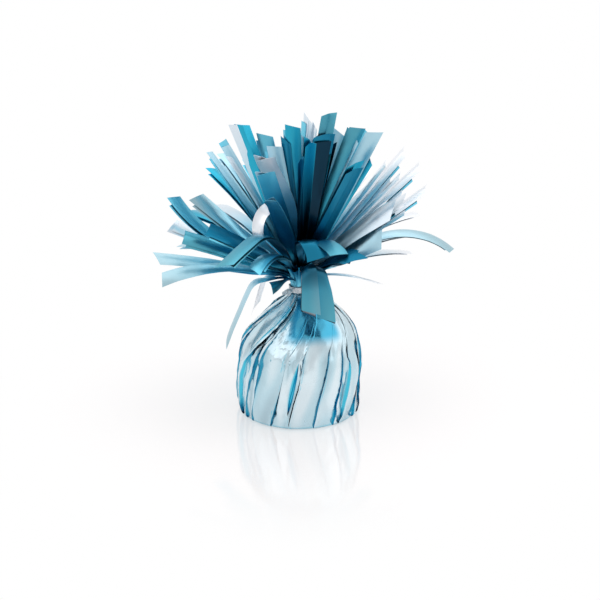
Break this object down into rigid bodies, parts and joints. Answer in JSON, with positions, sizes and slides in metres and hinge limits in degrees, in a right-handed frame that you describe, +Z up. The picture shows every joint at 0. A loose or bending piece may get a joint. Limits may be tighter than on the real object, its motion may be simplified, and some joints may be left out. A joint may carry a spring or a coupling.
{
  "type": "balloon weight",
  "caption": "Heavy round core wrapped in pleated pale blue metallic film, tied at the neck under a fringe plume, that holds balloon ribbons down.",
  "frame": {"origin": "centre of the flat base, where the weight stands", "axes": "+Z up through the neck, -Y towards the front, +X to the right as seen from the front"},
  "size_m": [0.1365, 0.1177, 0.1412],
  "materials": {
    "core": "cast, unpainted",
    "wrap_film": "satin metallised film",
    "inner_film": "satin metallised film",
    "gather_film": "satin metallised film",
    "fringe_film": "satin metallised film",
    "back_film": "satin metallised film",
    "tie": "clear film"
  },
  "bodies": {
    "wrapped_weight": {"fringe_gather": "gather_film", "front_flap_stem": "fringe_film", "inner_wrap": "inner_film", "lock_back_high_1": "back_film", "lock_back_high_2": "back_film", "lock_back_high_3": "back_film", "lock_back_low_1": "back_film", "lock_back_low_2": "back_film", "lock_back_low_3": "back_film", "lock_back_low_4": "back_film", "lock_back_low_5": "back_film", "lock_back_low_6": "back_film", "neck_tie": "tie", "outer_wrap": "wrap_film", "strip_front_fold": "fringe_film", "strip_front_left": "fringe_film", "strip_front_right": "fringe_film", "strip_front_right_point": "fringe_film", "strip_front_under": "fringe_film", "strip_left_arch": "fringe_film", "strip_left_dark": "fringe_film", "strip_left_front": "fringe_film", "strip_left_hook": "fringe_film", "strip_left_leaf": "fringe_film", "strip_left_low_b": "fringe_film", "strip_left_pale": "fringe_film", "strip_left_rise": "fringe_film", "strip_left_under": "fringe_film", "strip_left_wide": "fringe_film", "strip_right_fan_a": "fringe_film", "strip_right_fan_b": "fringe_film", "strip_right_fan_c": "fringe_film", "strip_right_fan_d": "fringe_film", "strip_right_fan_e": "fringe_film", "strip_right_low": "fringe_film", "strip_top_a": "fringe_film", "strip_top_b": "fringe_film", "strip_top_dark": "fringe_film", "strip_top_spike": "fringe_film", "strip_top_tall": "fringe_film", "strip_upper_left_back": "fringe_film", "strip_upper_left_curl": "fringe_film", "strip_upper_left_front": "fringe_film", "strip_upper_left_loop": "fringe_film", "strip_upper_left_short": "fringe_film", "strip_upper_left_tall": "fringe_film", "strip_upper_left_thin": "fringe_film", "strip_upper_left_wide": "fringe_film", "strip_upper_right_a": "fringe_film", "strip_upper_right_b": "fringe_film", "strip_upper_right_back": "fringe_film", "strip_upper_right_front": "fringe_film", "weight_core": "core"},
    "front_flap": {"front_flap_left": "fringe_film", "front_flap_right": "fringe_film"},
    "left_low_a_strip": {"strip_left_low_a": "fringe_film"},
    "left_hang_a_strip": {"strip_left_hang_a": "fringe_film"},
    "left_hang_b_strip": {"strip_left_hang_b": "fringe_film"},
    "right_arch_strip": {"strip_right_arch": "fringe_film"},
    "right_thin_strip": {"strip_right_thin": "fringe_film"}
  },
  "joints": [
    {"name": "front_flap_fold", "type": "hinge", "parent": "wrapped_weight", "child": "front_flap", "pos_m": [0.0064, -0.02093, 0.07523], "axis": [-0.9563, -0.2924, 0], "range_deg": [0, 75], "stiffness_Nm_per_rad": 0.004},
    {"name": "left_low_a_sway", "type": "hinge", "parent": "wrapped_weight", "child": "left_low_a_strip", "pos_m": [-0.00835, -0.00193, 0.06598], "axis": [0.1462, -0.9423, -0.3011], "range_deg": [0, 8], "stiffness_Nm_per_rad": 0.004},
    {"name": "left_hang_a_sway", "type": "hinge", "parent": "wrapped_weight", "child": "left_hang_a_strip", "pos_m": [-0.00861, -0.00183, 0.06415], "axis": [0.2079, -0.9781, 0], "range_deg": [-8, 8], "stiffness_Nm_per_rad": 0.004},
    {"name": "left_hang_b_sway", "type": "hinge", "parent": "wrapped_weight", "child": "left_hang_b_strip", "pos_m": [-0.00846, 0.00243, 0.06415], "axis": [-0.2756, -0.9613, 0], "range_deg": [-14, 4], "stiffness_Nm_per_rad": 0.004},
    {"name": "right_arch_sway", "type": "hinge", "parent": "wrapped_weight", "child": "right_arch_strip", "pos_m": [0.00747, 0.00186, 0.06827], "axis": [-0.2419, 0.9703, 0], "range_deg": [-8, 18], "stiffness_Nm_per_rad": 0.004},
    {"name": "right_thin_sway", "type": "hinge", "parent": "wrapped_weight", "child": "right_thin_strip", "pos_m": [0.0086, 0.00183, 0.06431], "axis": [-0.2079, 0.9781, 0], "range_deg": [-6, 28], "stiffness_Nm_per_rad": 0.004}
  ]
}
